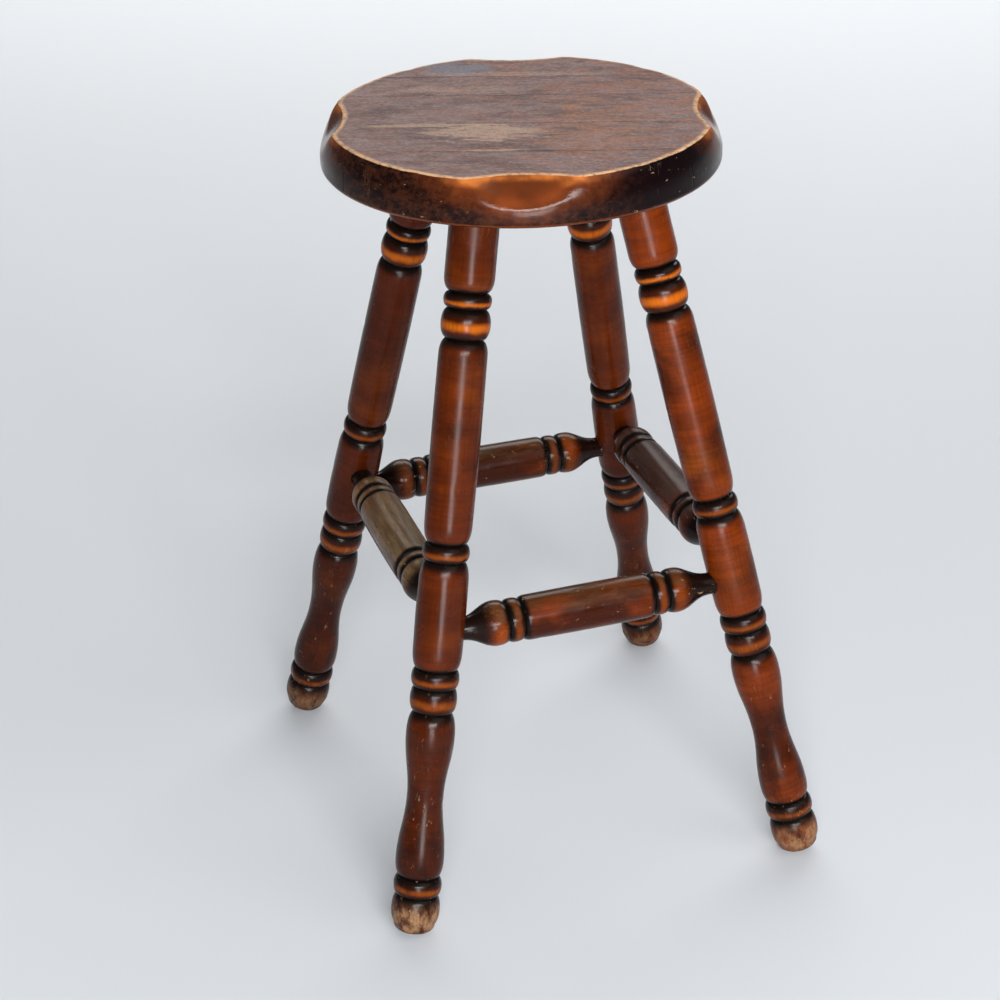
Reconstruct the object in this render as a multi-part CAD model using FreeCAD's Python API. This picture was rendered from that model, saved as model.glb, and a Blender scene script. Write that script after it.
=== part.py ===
import FreeCAD, Part
import math
import os

# Turned wooden stool: a round seat glued up from boards, four splayed legs, four stretchers.
# Millimetres and degrees. +Z is up, the floor is Z = 0, -Y is the front, +X is the right.
# The origin is on the floor, midway between the four feet.

# Seat: its middle sits a little off the middle of the feet, and its boards run at an angle to +X
SEAT_HEIGHT = 627.0
SEAT_THICKNESS = 37.0
SEAT_RADIUS = 160.5
SEAT_TOP_RADIUS = 153.7
SEAT_WALL_HEIGHT = 12.0
SEAT_FOOT_ROUND = 5.0
SEAT_CENTRE = (-6.0, 1.0)
GRAIN_ANGLE = -20.0
BOARD_JOINTS = (-88.0, -23.0, 47.0, 96.0)
BOARD_NAMES = ("front", "front_inner", "middle", "back_inner", "back")

# Scooped scallops in the seat's upper edge
SCALLOP_ANGLES = (-108.0, -17.5, 72.5, 162.5)
SCALLOP_INSET = 13.0
SCALLOP_HOLLOW_RADIUS = 159.0
SCALLOP_EASE_RADIUS = 40.0
SCALLOP_HOLLOW_ANGLE = 11.9
SCALLOP_EASE_ANGLE = 13.0
SCALLOP_SLOPE = 45.0
SCALLOP_REACH = 60.0

# Stance: where a leg's axis meets the floor, and how far it leans in for each unit of height
FOOT_X = 174.4
FOOT_Y = 186.7
LEAN_X = 0.186
LEAN_Y = 0.204

# Legs: heights are measured along the leg's axis, from where it meets the floor
LEG_SOCKET_DEPTH = 23.0
GLUE_GAP = 0.1
SOLE_HEIGHT = 2.0
SOLE_RADIUS = 10.5
SOLE_ROUND = 7.0
FOOT_CROWN = (20.3, 21.0)
FOOT_GROOVE = (16.6, 34.0)
# Turned elements from the foot ring up to the seat: length, crown radius, swell of the
# crown at mid-length, and the radius of the groove above the element. Two more numbers
# are the lengths of the lower and upper shoulders, where they differ from LEG_SHOULDER
FOOT_RING = (16.5, 20.2, 0.0, 16.3)
VASE = (142.0, 20.1, 0.0, 15.2)
MIDDLE_TURNINGS = (
    (21.0, 19.3, 0.0, 16.4),
    (15.6, 19.7, 0.0, 16.3),
    (90.4, 20.2, 0.3, 15.7, 15.0, 17.0),
    (14.7, 19.2, 0.0, 14.9),
    (165.0, 19.5, 0.4, 14.7, 17.0, 13.0),
    (24.3, 19.8, 0.0, 15.0),
    (13.0, 19.2, 0.0, 14.9),
)
LEG_TOP_RADIUS = 20.0
LEG_SHOULDER = 12.0
VASE_LOWER_CROWN = 14.0
VASE_WAIST = (15.1, 68.0)
VASE_UPPER_CROWN = 122.0

# Stretchers: four alike, each glued in a little off the middle of its two legs. Their
# turned profile is measured along the axis, from the middle of the stretcher
ACROSS_STRETCHER_HEIGHT = 249.0
SIDE_STRETCHER_HEIGHT = 269.6
STRETCHER_SHIFTS = {"front": -3.0, "back": -2.4, "left": -5.4, "right": 6.5}
STRETCHER_HALF_LENGTH = 132.0
INNER_GROOVE = (15.9, 56.2)
OUTER_GROOVE = (15.8, 69.0)
STRETCHER_BEAD_RADIUS = 18.3
BARREL_END_RADIUS = 18.8
BARREL_SWELL = 0.3
BARREL_SHOULDER = 6.0
BULB_CROWN = (18.8, 78.0)
TENON_SHOULDER = (9.2, 108.0)

FAR = 400.0


def vec(x, y, z):
    return FreeCAD.Vector(x, y, z)


def profile_point(radius, height):
    """A point of a turned profile, drawn in the XZ plane around the Z axis."""
    return vec(radius, 0, height)


def line(start, end):
    return Part.LineSegment(profile_point(*start), profile_point(*end)).toShape()


def arc(start, middle, end):
    return Part.Arc(profile_point(*start), profile_point(*middle), profile_point(*end)).toShape()


def curve(*poles):
    bezier = Part.BezierCurve()
    bezier.setPoles([profile_point(*pole) for pole in poles])
    return bezier.toShape()


def shoulder(groove, crown):
    """Round shoulder that leaves a groove steeply and meets the crown along the axis."""
    rise = crown[0] - groove[0]
    run = crown[1] - groove[1]
    steep = (groove[0] + 0.6 * rise, groove[1] + 0.1 * run)
    full = (crown[0], groove[1] + 0.45 * run)
    return curve(groove, steep, full, crown)


def wave(start, end, start_pull, end_pull):
    """S-curve between two crowns or waists, along the axis at both ends."""
    return curve(start, (start[0], start[1] + start_pull), (end[0], end[1] - end_pull), end)


def revolve(edges, bottom, top):
    """Solid of revolution about Z from an outline that ends on the axis at both ends."""
    axis = Part.LineSegment(vec(0, 0, bottom), vec(0, 0, top)).toShape()
    wire = Part.Wire(Part.__sortEdges__(edges + [axis]))
    return Part.Face(wire).revolve(vec(0, 0, 0), vec(0, 0, 1), 360)


def turned_element(groove, length, crown_radius, swell, next_radius, *shoulders):
    """Edges of a bead or plain section between two grooves, and the groove above it."""
    lower_run, upper_run = shoulders or (min(LEG_SHOULDER, length / 2),) * 2
    above = (next_radius, groove[1] + length)
    lower = (crown_radius, groove[1] + lower_run)
    upper = (crown_radius, above[1] - upper_run)
    edges = [shoulder(groove, lower), shoulder(above, upper)]
    if swell > 0:
        middle = (crown_radius + swell, (lower[1] + upper[1]) / 2)
        edges.append(arc(lower, middle, upper))
    elif upper[1] - lower[1] > 0.01:
        edges.append(line(lower, upper))
    return edges, above


def foot_edges():
    """Ball foot: a small flat sole, a rounded rim, and the ball up to its groove."""
    sole_edge = (SOLE_RADIUS, SOLE_HEIGHT)
    rim = (SOLE_RADIUS + SOLE_ROUND, SOLE_HEIGHT + SOLE_ROUND)
    turn = SOLE_ROUND * math.sin(math.radians(45))
    rim_middle = (SOLE_RADIUS + turn, SOLE_HEIGHT + SOLE_ROUND - turn)
    ball = curve(rim, (rim[0] + 1.5, rim[1] + 2.6), (FOOT_CROWN[0], FOOT_CROWN[1] - 6.0), FOOT_CROWN)
    return [
        line((0, SOLE_HEIGHT), sole_edge),
        arc(sole_edge, rim_middle, rim),
        ball,
        shoulder(FOOT_GROOVE, FOOT_CROWN),
    ]


def vase_edges(groove):
    """Vase-shaped length of the leg: two crowns with a slim waist between them."""
    length, crown_radius, _, next_radius = VASE
    base = groove[1]
    lower = (crown_radius, base + VASE_LOWER_CROWN)
    waist = (VASE_WAIST[0], base + VASE_WAIST[1])
    upper = (crown_radius, base + VASE_UPPER_CROWN)
    above = (next_radius, base + length)
    half_rise = (waist[1] - lower[1]) / 2
    edges = [
        shoulder(groove, lower),
        wave(lower, waist, half_rise * 0.85, half_rise * 0.8),
        wave(waist, upper, half_rise * 0.9, half_rise * 0.8),
        shoulder(above, upper),
    ]
    return edges, above


def leg_axis():
    """Length of a leg's axis for each unit of height."""
    return math.sqrt(1 + LEAN_X ** 2 + LEAN_Y ** 2)


def leg_length():
    underside = SEAT_HEIGHT - SEAT_THICKNESS
    return (underside + LEG_SOCKET_DEPTH) * leg_axis()


def upright_leg():
    """A whole leg, turned about Z with its floor point at the origin."""
    edges = foot_edges()
    ring, groove = turned_element(FOOT_GROOVE, *FOOT_RING)
    vase, groove = vase_edges(groove)
    edges += ring + vase
    for element in MIDDLE_TURNINGS:
        turning, groove = turned_element(groove, *element)
        edges += turning
    top = leg_length()
    crown = (LEG_TOP_RADIUS, groove[1] + LEG_SHOULDER)
    edges.append(shoulder(groove, crown))
    edges.append(line(crown, (LEG_TOP_RADIUS, top)))
    edges.append(line((LEG_TOP_RADIUS, top), (0, top)))
    return revolve(edges, SOLE_HEIGHT, top)


def place_on_leg_axis(shape, side_x, side_y):
    """Leans an upright shape into the stance of the leg on that side."""
    direction = vec(-side_x * LEAN_X, -side_y * LEAN_Y, 1)
    placed = shape.copy()
    placed.Placement = FreeCAD.Placement(
        vec(side_x * FOOT_X, side_y * FOOT_Y, 0),
        FreeCAD.Rotation(vec(0, 0, 1), direction),
    )
    return placed


def leg_axis_at(height):
    """Distance of the leg axes from the middle of the stool, in X and in Y, at a height."""
    return FOOT_X - LEAN_X * height, FOOT_Y - LEAN_Y * height


def half_stretcher_edges():
    """Outline of a stretcher from its middle to the end of one tenon."""
    bead = (STRETCHER_BEAD_RADIUS, (INNER_GROOVE[1] + OUTER_GROOVE[1]) / 2)
    barrel = (BARREL_END_RADIUS, INNER_GROOVE[1] - BARREL_SHOULDER)
    middle = (BARREL_END_RADIUS + BARREL_SWELL, 0)
    quarter = (BARREL_END_RADIUS + 0.75 * BARREL_SWELL, barrel[1] / 2)
    tenon_end = (TENON_SHOULDER[0], STRETCHER_HALF_LENGTH)
    taper = TENON_SHOULDER[1] - BULB_CROWN[1]
    return [
        arc(middle, quarter, barrel),
        shoulder(INNER_GROOVE, barrel),
        shoulder(INNER_GROOVE, bead),
        shoulder(OUTER_GROOVE, bead),
        shoulder(OUTER_GROOVE, BULB_CROWN),
        wave(BULB_CROWN, TENON_SHOULDER, taper * 0.37, taper * 0.45),
        line(TENON_SHOULDER, tenon_end),
        line(tenon_end, (0, STRETCHER_HALF_LENGTH)),
    ]


def upright_stretcher():
    half = revolve(half_stretcher_edges(), 0, STRETCHER_HALF_LENGTH)
    other = half.mirror(vec(0, 0, 0), vec(0, 0, 1))
    return half.fuse(other).removeSplitter()


def stretcher_stance(name):
    """Middle point of a stretcher, and the direction of its axis."""
    shift = STRETCHER_SHIFTS[name]
    side = -1 if name in ("front", "left") else 1
    if name in ("front", "back"):
        height = ACROSS_STRETCHER_HEIGHT
        return vec(shift, side * leg_axis_at(height)[1], height), vec(1, 0, 0)
    height = SIDE_STRETCHER_HEIGHT
    return vec(side * leg_axis_at(height)[0], shift, height), vec(0, 1, 0)


def place_stretcher(shape, name):
    middle, direction = stretcher_stance(name)
    placed = shape.copy()
    placed.Placement = FreeCAD.Placement(middle, FreeCAD.Rotation(vec(0, 0, 1), direction))
    return placed


def stretcher_sockets():
    """Blind sockets for all the tenons: one bar across each pair of legs, and the stretcher
    itself, whose tapered shoulder beds into the leg."""
    stretcher = upright_stretcher()
    bars = []
    for name in STRETCHER_SHIFTS:
        middle, direction = stretcher_stance(name)
        start = middle - direction * STRETCHER_HALF_LENGTH
        length = 2 * STRETCHER_HALF_LENGTH
        bars.append(Part.makeCylinder(TENON_SHOULDER[0] + GLUE_GAP, length, start, direction))
        bars.append(place_stretcher(stretcher, name))
    return bars


def seat_disc():
    """The seat before the scallops: flat faces, a round lower edge and a wall that leans in."""
    bottom = SEAT_HEIGHT - SEAT_THICKNESS
    wall_top = bottom + SEAT_WALL_HEIGHT
    rise = SEAT_HEIGHT - wall_top
    setback = SEAT_RADIUS - SEAT_TOP_RADIUS
    lean_radius = (rise ** 2 + setback ** 2) / (2 * setback)
    half_angle = math.asin(rise / lean_radius) / 2
    lean_middle = (
        SEAT_RADIUS - lean_radius * (1 - math.cos(half_angle)),
        wall_top + lean_radius * math.sin(half_angle),
    )
    turn = SEAT_FOOT_ROUND * (1 - math.sin(math.radians(45)))
    edges = [
        line((0, bottom), (SEAT_RADIUS - SEAT_FOOT_ROUND, bottom)),
        arc(
            (SEAT_RADIUS - SEAT_FOOT_ROUND, bottom),
            (SEAT_RADIUS - turn, bottom + turn),
            (SEAT_RADIUS, bottom + SEAT_FOOT_ROUND),
        ),
        line((SEAT_RADIUS, bottom + SEAT_FOOT_ROUND), (SEAT_RADIUS, wall_top)),
        arc((SEAT_RADIUS, wall_top), lean_middle, (SEAT_TOP_RADIUS, SEAT_HEIGHT)),
        line((SEAT_TOP_RADIUS, SEAT_HEIGHT), (0, SEAT_HEIGHT)),
    ]
    return revolve(edges, bottom, SEAT_HEIGHT)


def scallop_half_outline(side):
    """Half of the scallop's section: (across, out) of the hollow, the eased end and the way out."""
    hollow = math.radians(SCALLOP_HOLLOW_ANGLE)
    ease = math.radians(SCALLOP_EASE_ANGLE)
    turn_x = SCALLOP_HOLLOW_RADIUS * math.sin(hollow)
    turn_y = SCALLOP_HOLLOW_RADIUS * (1 - math.cos(hollow))
    ease_x = turn_x + SCALLOP_EASE_RADIUS * math.sin(hollow)
    ease_y = turn_y + SCALLOP_EASE_RADIUS * (1 - math.cos(hollow))
    end_x = ease_x + SCALLOP_EASE_RADIUS * math.sin(ease)
    end_y = ease_y - SCALLOP_EASE_RADIUS * (1 - math.cos(ease))
    half_x = SCALLOP_HOLLOW_RADIUS * math.sin(hollow / 2)
    half_y = SCALLOP_HOLLOW_RADIUS * (1 - math.cos(hollow / 2))
    points = ((0, 0), (half_x, half_y), (turn_x, turn_y), (ease_x, ease_y), (end_x, end_y))
    return [vec(side * x, y, 0) for x, y in points]


def scallop_cutter(angle):
    """Prism whose lower face is the scallop: it slopes down and out through the seat's edge."""
    right = scallop_half_outline(1)
    left = scallop_half_outline(-1)
    ceiling = vec(0, SCALLOP_REACH, 0)
    edges = [
        Part.Arc(left[2], left[0], right[2]).toShape(),
        Part.Arc(right[2], right[3], right[4]).toShape(),
        Part.Arc(left[2], left[3], left[4]).toShape(),
        Part.LineSegment(right[4], right[4] + ceiling).toShape(),
        Part.LineSegment(right[4] + ceiling, left[4] + ceiling).toShape(),
        Part.LineSegment(left[4] + ceiling, left[4]).toShape(),
    ]
    section = Part.Face(Part.Wire(Part.__sortEdges__(edges)))
    prism = section.extrude(vec(0, 0, 2 * SCALLOP_REACH))
    prism.translate(vec(0, 0, -SCALLOP_REACH))
    slope = math.radians(SCALLOP_SLOPE)
    out_and_up = vec(math.sin(slope), 0, math.cos(slope))
    out_and_down = vec(math.cos(slope), 0, -math.sin(slope))
    across = vec(0, 1, 0)
    inner_edge = vec(SEAT_TOP_RADIUS - SCALLOP_INSET, 0, SEAT_HEIGHT)
    prism.Placement = FreeCAD.Placement(
        inner_edge, FreeCAD.Rotation(across, out_and_up, out_and_down, "ZXY")
    ).multiply(prism.Placement)
    prism.rotate(vec(0, 0, 0), vec(0, 0, 1), angle)
    return prism


def board_slab(index):
    """Block that holds one board of the seat, between the joints on its two sides."""
    limits = (-FAR,) + BOARD_JOINTS + (FAR,)
    low = limits[index]
    slab = Part.makeBox(2 * FAR, limits[index + 1] - low, SEAT_THICKNESS, vec(-FAR, low, 0))
    slab.translate(vec(0, 0, SEAT_HEIGHT - SEAT_THICKNESS))
    slab.rotate(vec(0, 0, 0), vec(0, 0, 1), GRAIN_ANGLE)
    slab.translate(vec(*SEAT_CENTRE, 0))
    return slab


def write(name, shape):
    shape.exportStep("parts/" + name + ".step")


def build_seat():
    half = leg_length() / 2
    socket = Part.makeCylinder(LEG_TOP_RADIUS + GLUE_GAP, half, vec(0, 0, half))
    sockets = [place_on_leg_axis(socket, x, y) for x in (-1, 1) for y in (-1, 1)]
    seat = seat_disc().cut([scallop_cutter(angle) for angle in SCALLOP_ANGLES])
    seat.translate(vec(*SEAT_CENTRE, 0))
    seat = seat.cut(sockets)
    for index, name in enumerate(BOARD_NAMES):
        write("seat_board_" + name, seat.common(board_slab(index)))


def build_legs():
    leg = upright_leg()
    above_floor = Part.makeBox(2 * FAR, 2 * FAR, 2 * FAR, vec(-FAR, -FAR, 0))
    sockets = stretcher_sockets()
    for side_y, depth_name in ((-1, "front"), (1, "back")):
        for side_x, side_name in ((-1, "left"), (1, "right")):
            standing = place_on_leg_axis(leg, side_x, side_y).common(above_floor)
            write("leg_" + depth_name + "_" + side_name, standing.cut(sockets))


def build_stretchers():
    stretcher = upright_stretcher()
    for name in STRETCHER_SHIFTS:
        write("stretcher_" + name, place_stretcher(stretcher, name))


os.makedirs("parts", exist_ok=True)
build_seat()
build_legs()
build_stretchers()
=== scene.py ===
import math

import bmesh
import bpy
from mathutils import Matrix, Vector, noise


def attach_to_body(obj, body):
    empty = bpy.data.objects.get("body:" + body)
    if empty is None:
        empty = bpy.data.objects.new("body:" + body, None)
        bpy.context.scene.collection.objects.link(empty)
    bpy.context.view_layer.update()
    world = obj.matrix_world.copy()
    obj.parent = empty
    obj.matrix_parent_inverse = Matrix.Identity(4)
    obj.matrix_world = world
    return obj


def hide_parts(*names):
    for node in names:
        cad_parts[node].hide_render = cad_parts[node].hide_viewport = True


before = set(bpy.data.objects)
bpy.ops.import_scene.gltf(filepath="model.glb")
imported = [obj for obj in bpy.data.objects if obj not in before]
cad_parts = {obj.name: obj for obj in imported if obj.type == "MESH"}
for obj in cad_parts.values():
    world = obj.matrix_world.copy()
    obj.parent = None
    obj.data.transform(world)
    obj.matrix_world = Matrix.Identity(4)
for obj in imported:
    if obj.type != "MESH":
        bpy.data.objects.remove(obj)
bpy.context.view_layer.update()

# Turned wooden stool. +Z is up, the floor is Z = 0, -Y is the front. Angles are in degrees and
# lengths in millimetres, unless a comment says metres. MM turns them into the frame's metres.
MM = 0.001
TOLERANCE = 0.01

# Seat: its middle is a little off the middle of the feet, and its boards lie at an angle to +X
SEAT_HEIGHT = 627.0
SEAT_THICKNESS = 37.0
SEAT_RADIUS = 160.5
SEAT_TOP_RADIUS = 153.7
SEAT_WALL_HEIGHT = 12.0
SEAT_FOOT_ROUND = 5.0
SEAT_CENTRE = (-6.0, 1.0)
GRAIN_ANGLE = -20.0
BOARD_JOINTS = (-88.0, -23.0, 47.0, 96.0)
BOARD_NAMES = ("front", "front_inner", "middle", "back_inner", "back")
TOP_EDGE_ROUND = 1.8

# Scooped scallops in the seat's upper edge. Their lip is rounded, fully so from SCALLOP_LIP_DROP
# below the top. Past the two reaches, along the edge and inward, a scallop does nothing
SCALLOP_ANGLES = (-108.0, -17.5, 72.5, 162.5)
SCALLOP_INSET = 13.0
SCALLOP_HOLLOW_RADIUS = 159.0
SCALLOP_EASE_RADIUS = 40.0
SCALLOP_HOLLOW_ANGLE = 11.9
SCALLOP_EASE_ANGLE = 13.0
SCALLOP_SLOPE = 45.0
SCALLOP_TOP_BLEND = 0.8
SCALLOP_LIP_BLEND = 6.5
SCALLOP_LIP_DROP = 12.0
SCALLOP_SIDE_REACH = 75.0
SCALLOP_BACK_REACH = 40.0
OUTSIDE_SCALLOPS = -50.0

# Seams: the surface is drawn in along each joint, on the face and, from SEAM_WALL_START below
# it, on the wall, down to SEAM_LOW_END above the underside. ON_JOINT is in metres
SEAM_HALF_WIDTH = 0.6
SEAM_DEPTH = 0.3
SEAM_WALL_START = 2.0
SEAM_LOW_END = 1.0
ON_JOINT = 1e-7

# Wear of the seat. A scale is a noise's features a metre, a start the lowest level that shows
EDGE_WEAR_REACH = 3.5
EDGE_WEAR_OUTWARD = 0.75
EDGE_WEAR_DOWN = 0.65
KNOCK_DEPTH = 1.3
KNOCK_SCALE = 55
KNOCK_START = 0.15
NIBBLE_DEPTH = 0.5
NIBBLE_SCALE = 160
NIBBLE_START = 0.1
FACE_WAVE = 0.12
FACE_WAVE_SCALE = 14
WALL_WAVE = 0.1
WALL_WAVE_SCALE = 40

# Mesh of the seat: radii of rings, and numbers of steps
SEAT_SEGMENTS = 480
FACE_RING_STEP = 8
FACE_RING_END = 136
EDGE_STEPS = 16
LEAN_STEPS = 21
UNDERSIDE_RING_START = 145
UNDERSIDE_RING_STEP = 15

# Stance: where a leg's axis meets the floor, and how far it leans in per unit of height
FOOT_X = 174.4
FOOT_Y = 186.7
LEAN_X = 0.186
LEAN_Y = 0.204
LEG_AXIS = math.sqrt(1 + LEAN_X ** 2 + LEAN_Y ** 2)

# Legs: a point is a radius and a height, which is measured along the leg's axis from the floor
LEG_SOCKET_DEPTH = 23.0
GLUE_GAP = 0.1
SOLE_HEIGHT = 2.0
SOLE_RADIUS = 10.5
SOLE_ROUND = 7.0
FOOT_CROWN = (20.3, 21.0)
FOOT_GROOVE = (16.6, 34.0)
FOOT_RIM_PULL = (1.5, 2.6)
FOOT_CROWN_PULL = 6.0
# Turned elements: length, crown radius, swell at mid-length, and radius of the groove above.
# Two more numbers are the lengths of the lower and upper shoulders, if not LEG_SHOULDER
FOOT_RING = (16.5, 20.2, 0.0, 16.3)
VASE = (142.0, 20.1, 0.0, 15.2)
MIDDLE_TURNINGS = (
    (21.0, 19.3, 0.0, 16.4),
    (15.6, 19.7, 0.0, 16.3),
    (90.4, 20.2, 0.3, 15.7, 15.0, 17.0),
    (14.7, 19.2, 0.0, 14.9),
    (165.0, 19.5, 0.4, 14.7, 17.0, 13.0),
    (24.3, 19.8, 0.0, 15.0),
    (13.0, 19.2, 0.0, 14.9),
)
LEG_TOP_RADIUS = 20.0
LEG_SHOULDER = 12.0
VASE_LOWER_CROWN = 14.0
VASE_WAIST = (15.1, 68.0)
VASE_UPPER_CROWN = 122.0
VASE_LOWER_PULLS = (0.85, 0.8)
VASE_UPPER_PULLS = (0.9, 0.8)
LEG_SEGMENTS = 72

# Stretchers, each glued in a little off the middle of its legs. Heights are from its own middle
ACROSS_STRETCHER_HEIGHT = 249.0
SIDE_STRETCHER_HEIGHT = 269.6
STRETCHER_SHIFTS = {"front": -3.0, "back": -2.4, "left": -5.4, "right": 6.5}
STRETCHER_HALF_LENGTH = 132.0
INNER_GROOVE = (15.9, 56.2)
OUTER_GROOVE = (15.8, 69.0)
STRETCHER_BEAD_RADIUS = 18.3
BARREL_END_RADIUS = 18.8
BARREL_SWELL = 0.3
BARREL_SHOULDER = 6.0
BULB_CROWN = (18.8, 78.0)
TENON_SHOULDER = (9.2, 108.0)
TAPER_PULLS = (0.37, 0.45)
STRETCHER_SEGMENTS = 64

# Round shoulder of a groove: how far out and along it leaves steeply, and where it is full
SHOULDER_STEEP = (0.6, 0.1)
SHOULDER_FULL = 0.45

# Steps along the parts of a turned profile. The last two are lengths
ARC_STEPS = 6
SHOULDER_STEPS = 9
VASE_TOP_STEPS = 12
BALL_STEPS = 8
WAVE_STEPS = 16
HALF_BARREL_STEPS = 12
BARREL_STEP = 4.0
TENON_STEP = 8.0

# Unevenness of hand turning
RIPPLE_DEPTH = 0.12
RIPPLE_SCALE = 28
LEG_DENTS = 1.1
STRETCHER_DENTS = 0.9
DENT_SCALE = 85
DENT_START = 0.42
NEAR_AXIS = 2.0
STRETCHER_SEED = 10

# Edges sharper than this stay crisp
TURNED_EDGE_ANGLE = 50
BOARD_EDGE_ANGLE = 40

# Camera: distances are in metres, lens and sensor in millimetres
CAMERA_AZIMUTH = -17.457
CAMERA_ELEVATION = 27.631
CAMERA_ROLL = -1.424
CAMERA_DISTANCE = 2.0641
CAMERA_AIM_HEIGHT = 0.2807
CAMERA_AIM_SIDE = -0.0297
CAMERA_LENS = 86.35
SENSOR_WIDTH = 36.0


def add_to_scene(name, data):
    made = bpy.data.objects.new(name, data)
    bpy.context.scene.collection.objects.link(made)
    return made


# ---- camera

def make_camera():
    azimuth = math.radians(CAMERA_AZIMUTH)
    elevation = math.radians(CAMERA_ELEVATION)
    roll = math.radians(CAMERA_ROLL)
    forward = Vector((
        -math.sin(azimuth) * math.cos(elevation),
        math.cos(azimuth) * math.cos(elevation),
        -math.sin(elevation),
    ))
    level_right = Vector((math.cos(azimuth), math.sin(azimuth), 0))
    level_up = level_right.cross(forward)
    right = math.cos(roll) * level_right + math.sin(roll) * level_up
    up = math.cos(roll) * level_up - math.sin(roll) * level_right
    aim = Vector((0, 0, CAMERA_AIM_HEIGHT)) + level_right * CAMERA_AIM_SIDE
    data = bpy.data.cameras.new("camera")
    data.lens = CAMERA_LENS
    data.sensor_width = SENSOR_WIDTH
    camera = add_to_scene("camera", data)
    turn = Matrix((right, up, -forward)).transposed().to_4x4()
    camera.matrix_world = Matrix.Translation(aim - forward * CAMERA_DISTANCE) @ turn
    bpy.context.scene.camera = camera


# ---- meshes

def new_object(name, bm, matrix=None):
    mesh = bpy.data.meshes.new(name)
    bm.to_mesh(mesh)
    bm.free()
    piece = add_to_scene(name, mesh)
    if matrix is not None:
        piece.matrix_world = matrix
    return piece


def subtract(piece, cutter):
    """Cuts the cutter's solid out of the piece and keeps the result as its mesh."""
    modifier = piece.modifiers.new("socket", "BOOLEAN")
    modifier.operation = "DIFFERENCE"
    modifier.solver = "EXACT"
    modifier.object = cutter
    graph = bpy.context.evaluated_depsgraph_get()
    mesh = bpy.data.meshes.new_from_object(piece.evaluated_get(graph))
    piece.modifiers.clear()
    piece.data = mesh


def settle(piece):
    """Moves the mesh into the shared frame, so that the piece's own place is the origin.
    A layer keeps where each point is in the piece's own axes, for the grain to follow."""
    count = len(piece.data.vertices)
    places = [0.0] * (3 * count)
    piece.data.vertices.foreach_get("co", places)
    own = piece.data.attributes.new("own", "FLOAT_VECTOR", "POINT")
    own.data.foreach_set("vector", places)
    piece.data.transform(piece.matrix_world)
    piece.matrix_world = Matrix()


def dress(piece, material, edge_angle):
    """The piece's one material, and smooth shading but for edges sharper than the angle."""
    mesh = piece.data
    mesh.materials.clear()
    mesh.materials.append(material)
    mesh.shade_smooth()
    mesh.set_sharp_from_angle(angle=math.radians(edge_angle))
    settle(piece)


def remove(*pieces):
    for piece in pieces:
        bpy.data.objects.remove(piece)


def lathe(outline, segments):
    """Closed mesh turned about Z from an outline that starts and ends on the axis."""
    bm = bmesh.new()
    bottom = bm.verts.new((0, 0, outline[0][1] * MM))
    top = bm.verts.new((0, 0, outline[-1][1] * MM))
    rings = []
    for radius, height in outline[1:-1]:
        ring = []
        for index in range(segments):
            angle = 2 * math.pi * index / segments
            x, y = radius * math.cos(angle), radius * math.sin(angle)
            ring.append(bm.verts.new((x * MM, y * MM, height * MM)))
        rings.append(ring)
    for index in range(segments):
        after = (index + 1) % segments
        bm.faces.new((bottom, rings[0][after], rings[0][index]))
        bm.faces.new((top, rings[-1][index], rings[-1][after]))
        for low, high in zip(rings, rings[1:]):
            bm.faces.new((low[index], low[after], high[after], high[index]))
    return bm


# ---- outlines of turned work

def bezier(start, pull, push, end, count):
    """Points along a cubic curve after its start, up to its end."""
    points = []
    for index in range(1, count + 1):
        t = index / count
        s = 1 - t
        weights = (s ** 3, 3 * s * s * t, 3 * s * t * t, t ** 3)
        poles = (start, pull, push, end)
        radius = sum(w * p[0] for w, p in zip(weights, poles))
        height = sum(w * p[1] for w, p in zip(weights, poles))
        points.append((radius, height))
    return points


def shoulder_up(groove, crown, count=SHOULDER_STEPS):
    """Round shoulder that leaves a groove steeply and meets the crown along the axis."""
    rise = crown[0] - groove[0]
    run = crown[1] - groove[1]
    steep = (groove[0] + SHOULDER_STEEP[0] * rise, groove[1] + SHOULDER_STEEP[1] * run)
    full = (crown[0], groove[1] + SHOULDER_FULL * run)
    return bezier(groove, steep, full, crown, count)


def shoulder_down(crown, groove, count=SHOULDER_STEPS):
    """The same shoulder, followed from the crown to the groove above it."""
    points = [groove] + shoulder_up(groove, crown, count)
    return points[::-1][1:]


def wave(start, end, start_pull, end_pull):
    """S-curve between two crowns or waists, along the axis at both ends."""
    pull = (start[0], start[1] + start_pull)
    push = (end[0], end[1] - end_pull)
    return bezier(start, pull, push, end, WAVE_STEPS)


def barrel(start, end, swell, step=BARREL_STEP):
    """Nearly straight length between two crowns, a little fuller in the middle."""
    count = max(1, round((end[1] - start[1]) / step))
    points = []
    for index in range(1, count + 1):
        t = index / count
        bulge = swell * 4 * t * (1 - t)
        radius = start[0] + (end[0] - start[0]) * t + bulge
        points.append((radius, start[1] + (end[1] - start[1]) * t))
    return points


def turned_element(groove, length, crown_radius, swell, next_radius, *shoulders):
    """Points of a bead or plain section between two grooves, up to the groove above it."""
    lower_run, upper_run = shoulders or (min(LEG_SHOULDER, length / 2),) * 2
    above = (next_radius, groove[1] + length)
    lower = (crown_radius, groove[1] + lower_run)
    upper = (crown_radius, above[1] - upper_run)
    points = shoulder_up(groove, lower)
    if upper[1] - lower[1] > TOLERANCE:
        points += barrel(lower, upper, swell)
    return points + shoulder_down(upper, above)


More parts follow.
